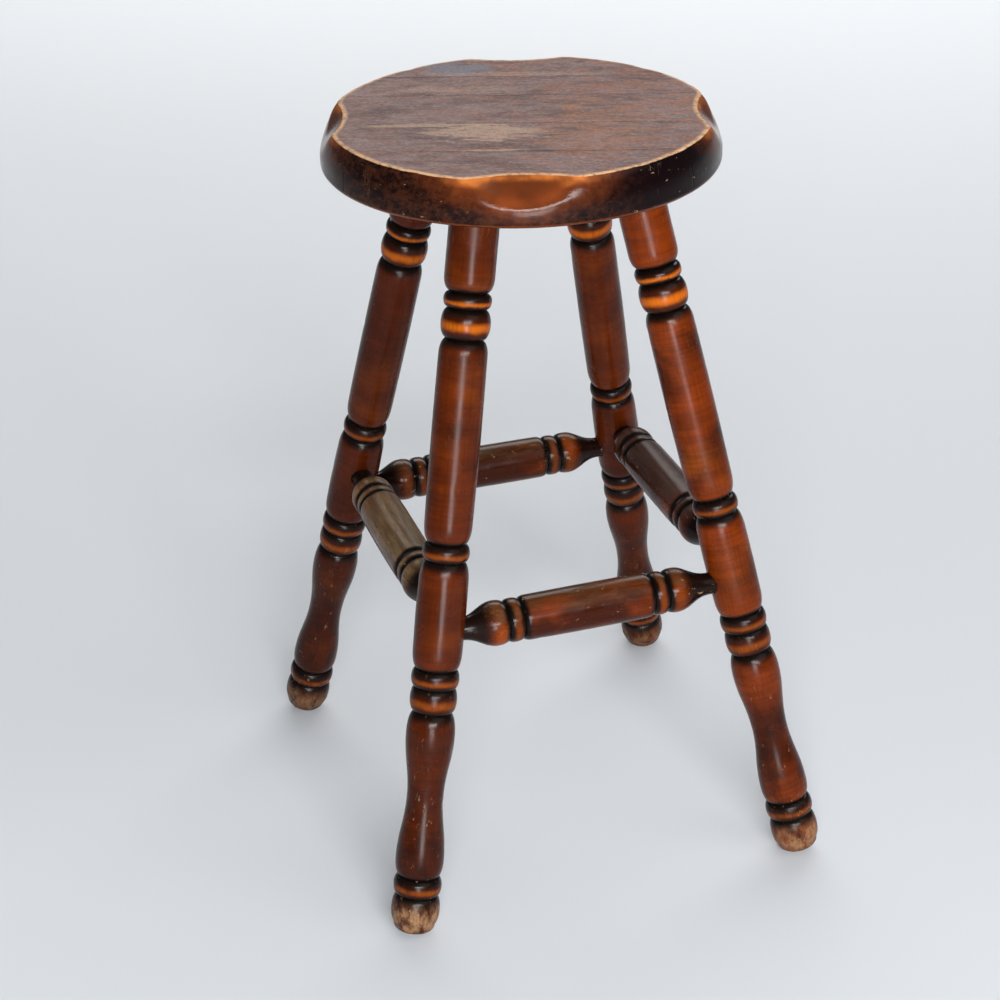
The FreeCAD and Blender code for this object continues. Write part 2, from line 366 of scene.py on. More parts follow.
def foot_outline():
    """Ball foot: a small flat sole, a rounded rim, and the ball up to its groove."""
    points = [(0, SOLE_HEIGHT), (SOLE_RADIUS * 0.5, SOLE_HEIGHT), (SOLE_RADIUS, SOLE_HEIGHT)]
    for step in range(1, ARC_STEPS + 1):
        angle = math.radians(90 * step / ARC_STEPS)
        radius = SOLE_RADIUS + SOLE_ROUND * math.sin(angle)
        points.append((radius, SOLE_HEIGHT + SOLE_ROUND * (1 - math.cos(angle))))
    rim = points[-1]
    pull = (rim[0] + FOOT_RIM_PULL[0], rim[1] + FOOT_RIM_PULL[1])
    push = (FOOT_CROWN[0], FOOT_CROWN[1] - FOOT_CROWN_PULL)
    points += bezier(rim, pull, push, FOOT_CROWN, BALL_STEPS)
    return points + shoulder_down(FOOT_CROWN, FOOT_GROOVE)


def vase_outline(groove):
    """Vase-shaped length of the leg: two crowns with a slim waist between them."""
    length, crown_radius, _, next_radius = VASE
    base = groove[1]
    lower = (crown_radius, base + VASE_LOWER_CROWN)
    waist = (VASE_WAIST[0], base + VASE_WAIST[1])
    upper = (crown_radius, base + VASE_UPPER_CROWN)
    above = (next_radius, base + length)
    half_rise = (waist[1] - lower[1]) / 2
    points = shoulder_up(groove, lower)
    for start, end, pulls in ((lower, waist, VASE_LOWER_PULLS), (waist, upper, VASE_UPPER_PULLS)):
        points += wave(start, end, half_rise * pulls[0], half_rise * pulls[1])
    return points + shoulder_down(upper, above, VASE_TOP_STEPS)


def leg_outline():
    """Points of the whole leg, and the heights of its grooves."""
    points = foot_outline()
    grooves = [FOOT_GROOVE[1]]
    points += turned_element(points[-1], *FOOT_RING)
    grooves.append(points[-1][1])
    points += vase_outline(points[-1])
    grooves.append(points[-1][1])
    for element in MIDDLE_TURNINGS:
        points += turned_element(points[-1], *element)
        grooves.append(points[-1][1])
    top = (SEAT_HEIGHT - SEAT_THICKNESS + LEG_SOCKET_DEPTH) * LEG_AXIS
    crown = (LEG_TOP_RADIUS, points[-1][1] + LEG_SHOULDER)
    points += shoulder_up(points[-1], crown)
    points += barrel(crown, (LEG_TOP_RADIUS, top), 0.0)
    points += [(LEG_TOP_RADIUS * 0.5, top), (0, top)]
    return points, grooves


def stretcher_outline():
    """Points of a stretcher from the end of one tenon to the end of the other."""
    bead = (STRETCHER_BEAD_RADIUS, (INNER_GROOVE[1] + OUTER_GROOVE[1]) / 2)
    barrel_end = (BARREL_END_RADIUS, INNER_GROOVE[1] - BARREL_SHOULDER)
    tenon_end = (TENON_SHOULDER[0], STRETCHER_HALF_LENGTH)
    taper = TENON_SHOULDER[1] - BULB_CROWN[1]
    middle = (BARREL_END_RADIUS + BARREL_SWELL, 0)
    half = [middle]
    for step in range(1, HALF_BARREL_STEPS + 1):
        t = step / HALF_BARREL_STEPS
        radius = middle[0] - BARREL_SWELL * t * t
        half.append((radius, barrel_end[1] * t))
    half += shoulder_down(barrel_end, INNER_GROOVE)
    half += shoulder_up(INNER_GROOVE, bead)
    half += shoulder_down(bead, OUTER_GROOVE)
    half += shoulder_up(OUTER_GROOVE, BULB_CROWN)
    half += wave(BULB_CROWN, TENON_SHOULDER, taper * TAPER_PULLS[0], taper * TAPER_PULLS[1])
    half += barrel(TENON_SHOULDER, tenon_end, 0.0, TENON_STEP)
    half += [(TENON_SHOULDER[0] * 0.5, STRETCHER_HALF_LENGTH), (0, STRETCHER_HALF_LENGTH)]
    other = [(radius, -height) for radius, height in half[::-1]]
    return other[:-1] + half


def weather_turning(bm, seed, dents):
    """Uneven hand turning: faint ripples, and shallow dents where a crown has been knocked."""
    offset = Vector((seed * 7.3, seed * 3.1, 0))
    for vert in bm.verts:
        radius = math.hypot(vert.co.x, vert.co.y)
        if radius < NEAR_AXIS * MM:
            continue
        where = vert.co + offset
        ripple = noise.noise(where * RIPPLE_SCALE) * RIPPLE_DEPTH
        dent = max(0.0, noise.noise(where * DENT_SCALE) - DENT_START) * dents
        shrink = (ripple - RIPPLE_DEPTH - dent) * MM / radius
        vert.co.x *= 1 + shrink
        vert.co.y *= 1 + shrink


# ---- seat shape

def blend_up(depth, width):
    """The depth where it is positive and nothing where it is negative, with a soft change."""
    if depth <= -width:
        return 0.0
    if depth >= width:
        return depth
    return (depth + width) ** 2 / (4 * width)


def scallop_section(across):
    """Height of the scooped surface above its lowest line, at a distance across the scoop."""
    across = abs(across)
    hollow = math.radians(SCALLOP_HOLLOW_ANGLE)
    ease = math.radians(SCALLOP_EASE_ANGLE)
    turn = SCALLOP_HOLLOW_RADIUS * math.sin(hollow)
    turn_rise = SCALLOP_HOLLOW_RADIUS * (1 - math.cos(hollow))
    if across <= turn:
        return SCALLOP_HOLLOW_RADIUS - math.sqrt(SCALLOP_HOLLOW_RADIUS ** 2 - across ** 2)
    peak = turn + SCALLOP_EASE_RADIUS * math.sin(hollow)
    peak_rise = turn_rise + SCALLOP_EASE_RADIUS * (1 - math.cos(hollow))
    end = peak + SCALLOP_EASE_RADIUS * math.sin(ease)
    reach = min(across, end) - peak
    return peak_rise - SCALLOP_EASE_RADIUS + math.sqrt(SCALLOP_EASE_RADIUS ** 2 - reach ** 2)


def seat_outline():
    """Points from the middle of the top, over the edge and down the wall, to the middle below.
    Heights are from the top face, down is negative."""
    drop = SEAT_THICKNESS - SEAT_WALL_HEIGHT
    setback = SEAT_RADIUS - SEAT_TOP_RADIUS
    lean_radius = (drop ** 2 + setback ** 2) / (2 * setback)
    lean = math.asin(drop / lean_radius)
    points = [(0, 0)]
    for radius in range(FACE_RING_STEP, FACE_RING_END + 1, FACE_RING_STEP):
        points.append((radius, 0))
    inner_end = SEAT_TOP_RADIUS - TOP_EDGE_ROUND
    for step in range(1, EDGE_STEPS + 1):
        points.append((FACE_RING_END + (inner_end - FACE_RING_END) * step / EDGE_STEPS, 0))
    lean_points = []
    for step in range(LEAN_STEPS + 1):
        angle = lean * (1 - step / LEAN_STEPS)
        radius = SEAT_RADIUS - lean_radius * (1 - math.cos(angle))
        lean_points.append((radius, -drop + lean_radius * math.sin(angle)))
    start = next(index for index, p in enumerate(lean_points) if p[1] < -TOP_EDGE_ROUND)
    wall_start = lean_points[start]
    corner = (SEAT_TOP_RADIUS, 0)
    for step in range(1, ARC_STEPS):
        t = step / ARC_STEPS
        radius = (1 - t) ** 2 * inner_end + 2 * t * (1 - t) * corner[0] + t * t * wall_start[0]
        points.append((radius, t * t * wall_start[1]))
    points += lean_points[start:]
    low = -SEAT_THICKNESS + SEAT_FOOT_ROUND
    for step in range(1, ARC_STEPS + 1):
        points.append((SEAT_RADIUS, -drop + (low + drop) * step / ARC_STEPS))
    for step in range(1, ARC_STEPS + 1):
        angle = math.radians(90 * step / ARC_STEPS)
        radius = SEAT_RADIUS - SEAT_FOOT_ROUND * (1 - math.cos(angle))
        points.append((radius, low - SEAT_FOOT_ROUND * math.sin(angle)))
    for radius in range(UNDERSIDE_RING_START, 0, -UNDERSIDE_RING_STEP):
        points.append((radius, -SEAT_THICKNESS))
    return points + [(0, -SEAT_THICKNESS)]


def shape_seat_point(x, y, z):
    """Moves a point of the plain disc onto the scooped and worn seat.
    Gives the new point, how far it is past the top edge, and how far inside a scoop's
    surface it was, which is negative outside the scoops."""
    slope = math.radians(SCALLOP_SLOPE)
    sine, cosine = math.sin(slope), math.cos(slope)
    inner = SEAT_TOP_RADIUS - SCALLOP_INSET
    past_edge = math.hypot(x, y) - SEAT_TOP_RADIUS
    point = Vector((x, y, z))
    scoop = OUTSIDE_SCALLOPS
    blend = SCALLOP_TOP_BLEND
    blend += (SCALLOP_LIP_BLEND - SCALLOP_TOP_BLEND) * min(1.0, -z / SCALLOP_LIP_DROP)
    for angle in SCALLOP_ANGLES:
        turn = math.radians(angle - GRAIN_ANGLE)
        out = x * math.cos(turn) + y * math.sin(turn)
        if out < inner - SCALLOP_BACK_REACH:
            continue
        across = y * math.cos(turn) - x * math.sin(turn)
        depth = (out - inner) * sine + z * cosine - scallop_section(across)
        scoop = max(scoop, depth)
        if abs(across) > SCALLOP_SIDE_REACH:
            continue
        past_edge = max(past_edge, depth / sine)
        moved = blend_up(depth, blend)
        if moved > 0 and z > -SEAT_THICKNESS + SEAT_FOOT_ROUND:
            shift = Vector((math.cos(turn), math.sin(turn), 0)) * sine
            point -= (shift + Vector((0, 0, cosine))) * moved
    return point, past_edge - z, scoop


def wear_seat_point(point, rim):
    """Faint waves in the top, and small knocks along its edge. Only ever takes wood away."""
    where = point * MM
    outward = Vector((point.x, point.y, 0)).normalized()
    near_edge = math.exp(-(rim / EDGE_WEAR_REACH) ** 2)
    knock = max(0.0, noise.noise(where * KNOCK_SCALE + Vector((3, 1, 7))) - KNOCK_START)
    nibble = max(0.0, noise.noise(where * NIBBLE_SCALE) - NIBBLE_START)
    depth = near_edge * (KNOCK_DEPTH * knock + NIBBLE_DEPTH * nibble)
    point -= (outward * EDGE_WEAR_OUTWARD + Vector((0, 0, EDGE_WEAR_DOWN))) * depth
    if rim < 0:
        point.z -= FACE_WAVE * (1 + noise.noise(where * FACE_WAVE_SCALE))
    else:
        point -= outward * WALL_WAVE * (1 + noise.noise(where * WALL_WAVE_SCALE))
    return point


def seat_blank():
    """The whole seat before it is parted into boards, with its shading layers."""
    bm = bmesh.new()
    rim_layer = bm.verts.layers.float.new("rim")
    scoop_layer = bm.verts.layers.float.new("scoop")
    rings = []
    for radius, height in seat_outline():
        ring = []
        count = SEAT_SEGMENTS if radius > 0 else 1
        for index in range(count):
            angle = 2 * math.pi * index / SEAT_SEGMENTS
            x, y = radius * math.cos(angle), radius * math.sin(angle)
            point, rim, scoop = shape_seat_point(x, y, height)
            if height > -SEAT_THICKNESS + TOLERANCE:
                point = wear_seat_point(point, rim)
            vert = bm.verts.new(point * MM)
            vert[rim_layer] = rim
            vert[scoop_layer] = scoop
            ring.append(vert)
        rings.append(ring)
    for index in range(SEAT_SEGMENTS):
        after = (index + 1) % SEAT_SEGMENTS
        bm.faces.new((rings[0][0], rings[1][index], rings[1][after]))
        bm.faces.new((rings[-1][0], rings[-2][after], rings[-2][index]))
        for high, low in zip(rings[1:-2], rings[2:-1]):
            bm.faces.new((high[index], low[index], low[after], high[after]))
    return bm


def slice_at(bm, across, keep=None):
    """Cuts the mesh along a joint line. Keeps all of it, or the side named by keep (1 or -1)."""
    bmesh.ops.bisect_plane(
        bm,
        geom=bm.verts[:] + bm.edges[:] + bm.faces[:],
        plane_co=(0, across * MM, 0),
        plane_no=(0, 1, 0),
        clear_inner=keep == 1,
        clear_outer=keep == -1,
    )


def sink_seam(bm, across):
    """Draws the surface in a little along a joint, as glue lines do on an old seat."""
    for vert in bm.verts:
        if abs(vert.co.y - across * MM) > ON_JOINT:
            continue
        if vert.co.z > (-SEAT_THICKNESS + SEAM_LOW_END) * MM:
            on_wall = vert.co.z < -SEAM_WALL_START * MM
            outward = Vector((vert.co.x, 0, 0)).normalized() if on_wall else Vector()
            vert.co -= (outward + Vector((0, 0, 1 - outward.length))) * SEAM_DEPTH * MM


def part_board(blank, index):
    """One board of the seat, between the joints on its two sides."""
    bm = blank.copy()
    edges = []
    if index > 0:
        edges.append((BOARD_JOINTS[index - 1], 1))
    if index < len(BOARD_JOINTS):
        edges.append((BOARD_JOINTS[index], -1))
    for across, keep in edges:
        slice_at(bm, across + keep * SEAM_HALF_WIDTH)
        slice_at(bm, across, keep)
        rim = [edge for edge in bm.edges if edge.is_boundary]
        sink_seam(bm, across)
        bmesh.ops.edgeloop_fill(bm, edges=rim)
    bmesh.ops.recalc_face_normals(bm, faces=bm.faces[:])
    return bm


# ---- node materials

ASKEW = (0.4, 0.7, 0.9)
VARNISH_SPECULAR = 0.12
SEAT_SPECULAR = 0.10
FLOOR_SPECULAR = 0.2


class Shader:
    """Short names for building one node material."""

    def __init__(self, name):
        self.material = bpy.data.materials.new(name)
        self.material.use_nodes = True
        self.tree = self.material.node_tree
        self.surface = self.tree.nodes["Principled BSDF"]

    def feed(self, socket, value):
        if isinstance(value, bpy.types.NodeSocket):
            self.tree.links.new(value, socket)
        elif isinstance(value, tuple) and len(value) == 3 and socket.type == "RGBA":
            socket.default_value = (*value, 1)
        else:
            socket.default_value = value

    def node(self, kind, inputs=(), **settings):
        made = self.tree.nodes.new(kind)
        for key, value in settings.items():
            setattr(made, key, value)
        for key, value in dict(inputs).items():
            self.feed(made.inputs[key], value)
        return made

    def math(self, operation, *values):
        made = self.node("ShaderNodeMath", operation=operation)
        for socket, value in zip(made.inputs, values):
            self.feed(socket, value)
        return made.outputs[0]

    def times(self, first, second):
        return self.math("MULTIPLY", first, second)

    def jitter(self, value, noise_value, amount):
        """The value, shifted up or down by up to half the amount."""
        return self.math("ADD", value, self.math("MULTIPLY_ADD", noise_value, amount, -amount / 2))

    def mix(self, factor, first, second):
        """Colour between the first (factor 0) and the second (factor 1)."""
        made = self.node("ShaderNodeMix", data_type="RGBA")
        self.feed(made.inputs[0], factor)
        self.feed(made.inputs[6], first)
        self.feed(made.inputs[7], second)
        return made.outputs[2]

    def lay(self, colour, tone, mask, strength):
        """The tone laid over the colour where the mask is, as far as the strength."""
        return self.mix(self.times(mask, strength), colour, tone)

    def between(self, factor, first, second):
        """Number between the first (factor 0) and the second (factor 1)."""
        return self.node("ShaderNodeMix", {0: factor, 2: first, 3: second}).outputs[0]

    def ramp(self, value, low, high, start=0.0, end=1.0):
        """Soft step: start at low, end at high."""
        made = self.node("ShaderNodeMapRange", interpolation_type="SMOOTHSTEP")
        for key, number in enumerate((value, low, high, start, end)):
            self.feed(made.inputs[key], number)
        return made.outputs[0]

    def own_place(self):
        """Place in the piece's own axes, in metres."""
        return self.node("ShaderNodeAttribute", attribute_name="own").outputs["Vector"]

    def coordinates(self, scale, shift):
        """Own place, scaled, then turned askew to a noise's cells."""
        source = self.own_place()
        inputs = {"Vector": source, "Scale": scale, "Rotation": ASKEW, "Location": shift}
        return self.node("ShaderNodeMapping", inputs).outputs[0]

    def noise(self, scale, shift=(0, 0, 0), detail=3.0, rough=0.5, twist=0.0):
        """Noise with that many features a metre, overall or along each axis."""
        if not isinstance(scale, tuple):
            scale = (scale, scale, scale)
        inputs = {
            "Vector": self.coordinates(scale, shift),
            "Scale": 1.0,
            "Detail": detail,
            "Roughness": rough,
            "Distortion": twist,
        }
        return self.node("ShaderNodeTexNoise", inputs).outputs[0]

    def axes(self):
        """Own x, y and z, in metres."""
        return self.node("ShaderNodeSeparateXYZ", {0: self.own_place()}).outputs

    def layer(self, name):
        """A layer of the seat's mesh, in millimetres."""
        return self.node("ShaderNodeAttribute", attribute_name=name).outputs["Fac"]

    def scratches(self, scale, shift, width, gather):
        """Thin lines along the level curves of a noise, broken up by a second noise."""
        lines = self.noise(scale, shift, detail=1.5, twist=1.6)
        line = self.math("ABSOLUTE", self.math("SUBTRACT", lines, 0.5))
        thin = self.ramp(line, 0.0, width, 1.0, 0.0)
        patch = self.noise(24, shift, detail=2.0)
        return self.times(thin, self.ramp(patch, gather, gather + 0.06))

    def patch(self, centre, size, ragged, jagged):
        """Soft-edged patch of the seat's face: centre and half sizes in mm, along and across."""
        x, y, _ = self.axes()
        along = self.math("DIVIDE", self.math("SUBTRACT", x, centre[0] * MM), size[0] * MM)
        across = self.math("DIVIDE", self.math("SUBTRACT", y, centre[1] * MM), size[1] * MM)
        squares = self.math("ADD", self.math("POWER", self.math("ABSOLUTE", along), 2.0),
                            self.math("POWER", self.math("ABSOLUTE", across), 2.0))
        edge = self.times(self.math("SUBTRACT", ragged, 0.5), jagged)
        return self.ramp(self.math("ADD", squares, edge), 0.35, 1.25, 1.0, 0.0)

    def relief(self, *layers):
        """Bump from (height, depth in mm) pairs, one on another."""
        normal = None
        for height, depth in layers:
            bump = self.node("ShaderNodeBump", {"Height": height, "Distance": depth * MM})
            bump.inputs["Strength"].default_value = 1.0
            if normal is not None:
                self.feed(bump.inputs["Normal"], normal)
            normal = bump.outputs[0]
        self.feed(self.surface.inputs["Normal"], normal)

    def finish(self, colour, roughness, specular):
        self.feed(self.surface.inputs["Base Color"], colour)
        self.feed(self.surface.inputs["Roughness"], roughness)
        self.surface.inputs["Specular IOR Level"].default_value = specular
        return self.material


# ---- turned wood

DARK_STAIN = (0.0042, 0.0022, 0.0016)
DEEP_BROWN = (0.030, 0.0046, 0.0008)
RED_BROWN = (0.143, 0.0212, 0.0012)
# Amber: bright patches of figure, and the painted highlight round the beads
AMBER = (0.43, 0.096, 0.004)
BARE_WOOD = (0.44, 0.26, 0.13)
FOOT_WOOD = (0.275, 0.150, 0.075)
# Grey wear on top of each stretcher: how high above its axis it starts and is full, in metres,
# its strength, and its tone
STRETCHER_WEAR = {
    "front": ((0.008, 0.020), 0.52, (0.105, 0.052, 0.020)),
    "back": ((0.008, 0.020), 0.60, (0.075, 0.040, 0.018)),
    "left": ((-0.008, 0.012), 0.85, (0.200, 0.130, 0.062)),
    "right": ((-0.002, 0.014), 0.80, (0.060, 0.034, 0.027)),
}
# How far each foot is worn to bare wood, and how much darker than red brown each leg is
FOOT_WEAR = {"front_left": 0.85, "front_right": 0.70, "back_left": 0.40, "back_right": 0.35}
LEG_DEPTH = {"front_left": 0.60, "front_right": 0.0, "back_left": 0.80, "back_right": 0.52}
# Longest length between grooves that counts as a bead, in mm, and how far below a bead's middle
# its painted highlight sits
LONGEST_BEAD = 30
GLOW_BELOW_MIDDLE = 1.2


def groove_stain(wood, along, grooves, below, above, core):
    """Dark stain that has settled in the grooves and fades over the shoulders beside them.
    It is full within core of a groove, and gone at below and above it, in mm."""
    stain = 0.0
    for groove in grooves:
        rising = wood.ramp(along, (groove - below) * MM, (groove - core) * MM)
        falling = wood.ramp(along, (groove + core) * MM, (groove + above) * MM, 1.0, 0.0)
        stain = wood.math("MAXIMUM", wood.times(rising, falling), stain)
    return stain


def bead_glow(wood, along, beads, reach):
    """Soft band round each bead's middle, for the painted amber highlight there and for the darker
    bead ends. Reach is a part of its length.
    """
    glow = 0.0
    for low, high in beads:
        middle = (low + high) / 2 - GLOW_BELOW_MIDDLE
        half = (high - low) * reach
        distance = wood.math("ABSOLUTE", wood.math("SUBTRACT", along, middle * MM))
        band = wood.ramp(distance, half * 0.1 * MM, half * MM, 1.0, 0.0)
        glow = wood.math("MAXIMUM", band, glow)
    return glow


def leg_material(name, seed, grooves, depth, foot_wear):
    """Red brown varnish over figured wood, a painted amber highlight round the beads, and nearly
    black in the grooves.
    """
    wood = Shader(name)
    shift = (seed * 3.7, seed * 1.9, seed * 5.3)
    place = wood.axes()[2]
    wobble = wood.noise(70, shift, detail=2.0)
    along = wood.jitter(place, wobble, 0.004)

    # Figure and grain, darkened by the leg's depth, and more so near the floor
    figure = wood.ramp(wood.noise((17, 17, 26), shift, detail=4.0, twist=0.5), 0.24, 0.60)
    flame = wood.noise((14, 14, 95), shift, twist=0.9)
    grain = wood.noise((760, 760, 26), shift)
    colour = wood.mix(figure, DEEP_BROWN, RED_BROWN)
    darker = wood.ramp(place, 0.10, 0.24, depth + 0.30, depth)
    colour = wood.mix(darker, colour, DEEP_BROWN)
    glow_spots = wood.ramp(wood.noise((11, 11, 22), shift, detail=5.0), 0.50, 0.76)
    upper = wood.ramp(place, 0.10, 0.50, 0.10, 0.34 - depth * 0.3)
    colour = wood.lay(colour, AMBER, glow_spots, upper)
    colour = wood.mix(wood.ramp(flame, 0.36, 0.62, 0.24, 0.0), colour, DEEP_BROWN)
    colour = wood.mix(wood.ramp(grain, 0.30, 0.58, 0.22, 0.0), colour, DARK_STAIN)
    rings = wood.noise((24, 24, 480), shift)
    colour = wood.mix(wood.ramp(rings, 0.36, 0.56, 0.22, 0.0), colour, DARK_STAIN)

    # Beads are darker towards their ends, with a painted amber highlight round the middle, and
    # grooves hold stain
    beads = [pair for pair in zip(grooves, grooves[1:]) if pair[1] - pair[0] < LONGEST_BEAD]
    colour = wood.mix(bead_glow(wood, along, beads, 0.9), colour, DEEP_BROWN)
    glow = bead_glow(wood, along, beads, 0.24)
    amber = wood.mix(wood.ramp(grain, 0.20, 0.60, 0.55, 1.0), RED_BROWN, AMBER)
    painted_highlight_strength = wood.ramp(place, 0.40, 0.52, 0.28, 0.90 - depth * 0.3)
    colour = wood.lay(colour, amber, glow, painted_highlight_strength)
    stain = groove_stain(wood, along, grooves, below=9.5, above=5.5, core=1.5)
    colour = wood.mix(stain, colour, DARK_STAIN)

    # Knocked and scuffed low down, worn to bare wood round the foot
    low = wood.ramp(place, 0.03, 0.26, 1.0, 0.10)
    mottled = wood.ramp(wood.noise((75, 75, 48), shift, detail=7.0, rough=0.7), 0.38, 0.56)
    grime = wood.times(wood.math("SUBTRACT", 1.0, mottled), low)
    colour = wood.lay(colour, DARK_STAIN, grime, 0.6)
    fleck_noise = wood.noise((230, 230, 110), shift, detail=5.0, rough=0.65)
    fleck = wood.times(wood.ramp(fleck_noise, 0.63, 0.69), low)
    streak = wood.noise((115, 115, 60), shift, detail=7.0, rough=0.72)
    foot = wood.ramp(along, 0.019, 0.033, 1.0, 0.0)
    sole = wood.ramp(along, 0.001, 0.009, 0.1, 1.0)
    bare = wood.times(wood.times(foot, sole), wood.ramp(streak, 0.36, 0.64))
    marks = wood.scratches((210, 210, 22), shift, width=0.005, gather=0.63)
    wear = wood.math("MAXIMUM", fleck, bare)
    colour = wood.lay(colour, FOOT_WOOD, bare, foot_wear)
    colour = wood.lay(colour, BARE_WOOD, fleck, 0.36)
    colour = wood.lay(colour, BARE_WOOD, marks, 0.3)

    dull = wood.noise(45, shift, detail=4.0)
    rough = wood.ramp(dull, 0.35, 0.70, 0.21, 0.30)
    rough = wood.math("MAXIMUM", rough, wood.times(wear, 0.62))
    wood.relief((grain, 0.03), (fleck, -0.25), (marks, -0.15), (bare, -0.12))
    return wood.finish(colour, rough, VARNISH_SPECULAR)


def stretcher_material(name, seed, wear_top, greyness, worn):
    """The legs' varnish and painted amber highlight, alike on both halves, worn on top by shoes.
    """
    wood = Shader(name)
    shift = (seed * 2.9, seed * 4.1, seed * 1.7)
    up, _, place = wood.axes()
    place = wood.math("ABSOLUTE", place)
    wobble = wood.noise(70, shift, detail=2.0)
    along = wood.jitter(place, wobble, 0.003)

    figure = wood.ramp(wood.noise((30, 30, 16), shift, detail=5.0, twist=0.5), 0.42, 0.74)
    grain = wood.noise((760, 760, 26), shift)
    colour = wood.mix(figure, DEEP_BROWN, RED_BROWN)
    colour = wood.mix(wood.ramp(grain, 0.30, 0.60, 0.4, 0.0), colour, DARK_STAIN)
    # Painted amber highlight round the middle of the bead and of the bulb
    bead = (INNER_GROOVE[1] - 1, OUTER_GROOVE[1] + 3)
    bulb = (OUTER_GROOVE[1] + 1, BULB_CROWN[1] + 9)
    glow = bead_glow(wood, along, (bead, bulb), 0.42)
    colour = wood.lay(colour, AMBER, glow, 0.11)

    # Shoes have rubbed the upper side dull and grey
    ragged = wood.noise((120, 120, 34), shift, detail=6.0, rough=0.65)
    height = wood.jitter(up, ragged, 0.030)
    trodden = wood.times(wood.ramp(height, wear_top[0], wear_top[1]), greyness)
    rubbed = wood.ramp(wood.noise((190, 190, 24), shift, detail=6.0, rough=0.65), 0.36, 0.60)
    tone = wood.mix(wood.ramp(figure, 0.2, 0.9, 0.0, 0.45), worn, RED_BROWN)
    tone = wood.lay(tone, DEEP_BROWN, rubbed, 0.55)
    colour = wood.mix(trodden, colour, tone)

    # Stain in the grooves and on the neck, then chips and scratches
    grooves = (INNER_GROOVE[1], OUTER_GROOVE[1])
    stain = groove_stain(wood, along, grooves, below=6.0, above=5.0, core=1.8)
    neck = wood.ramp(along, (BULB_CROWN[1] + 2) * MM, (BULB_CROWN[1] + 13) * MM, 0.0, 0.96)
    stain = wood.math("MAXIMUM", stain, neck)
    colour = wood.mix(stain, colour, DARK_STAIN)
    fleck_noise = wood.noise((220, 220, 110), shift, detail=5.0, rough=0.65)
    fleck = wood.ramp(fleck_noise, 0.645, 0.70)
    marks = wood.scratches((240, 240, 45), shift, width=0.006, gather=0.58)
    colour = wood.lay(colour, BARE_WOOD, fleck, 0.45)
    colour = wood.lay(colour, BARE_WOOD, marks, 0.4)

    dull = wood.noise(50, shift, detail=4.0)
    rough = wood.ramp(dull, 0.35, 0.70, 0.18, 0.30)
    rough = wood.math("MAXIMUM", rough, wood.times(trodden, 0.42))
    wood.relief((grain, 0.05), (fleck, -0.2), (marks, -0.12), (ragged, 0.12))
    return wood.finish(colour, rough, VARNISH_SPECULAR)


# ---- wood of the seat

SEAT_TONE = (0.244, 0.166, 0.162)
SEAT_DARK = (0.100, 0.059, 0.059)
SEAT_RUST = (0.290, 0.122, 0.078)
SEAT_TAN = (0.470, 0.320, 0.228)
SEAT_ORANGE = (0.340, 0.148, 0.076)
# Bluish grey of a painted reflection on the face
SEAT_PAINTED_REFLECTION = (0.160, 0.172, 0.218)
EDGE_TAN = (0.62, 0.36, 0.19)
WALL_BLACK = (0.0035, 0.0012, 0.0016)
WALL_BROWN = (0.036, 0.0106, 0.0042)
SCOOP_RED = (0.19, 0.040, 0.009)
SCOOP_GLOW = (0.50, 0.150, 0.030)
# Patches of the face: centre and half size along and across the grain, tone, strength, raggedness.
# The bluish one is a painted reflection
FACE_PATCHES = (
    ((-26, -46), (44, 19), SEAT_TAN, 0.75, 8.0),
    ((-60, -27), (64, 4.5), SEAT_TAN, 0.75, 4.0),
    ((-14, -87), (26, 3), SEAT_TAN, 0.70, 3.0),
    ((30, -89), (38, 3.5), SEAT_DARK, 0.90, 3.0),
    ((-90, 95), (40, 3), SEAT_DARK, 0.80, 3.0),
    ((58, -42), (34, 60), SEAT_ORANGE, 0.50, 9.0),
    ((40, 15), (9, 6), SEAT_ORANGE, 0.70, 3.0),
    # Painted bluish reflection towards the back of the face
    ((-56, 118), (28, 17), SEAT_PAINTED_REFLECTION, 0.80, 4.0),
    ((-68, -58), (22, 5), SEAT_DARK, 0.75, 5.0),
    ((-50, 62), (46, 8), SEAT_TAN, 0.35, 6.0),
    ((60, 66), (50, 7), SEAT_RUST, 0.60, 6.0),
    ((0, 102), (64, 6), SEAT_TAN, 0.30, 6.0),
)


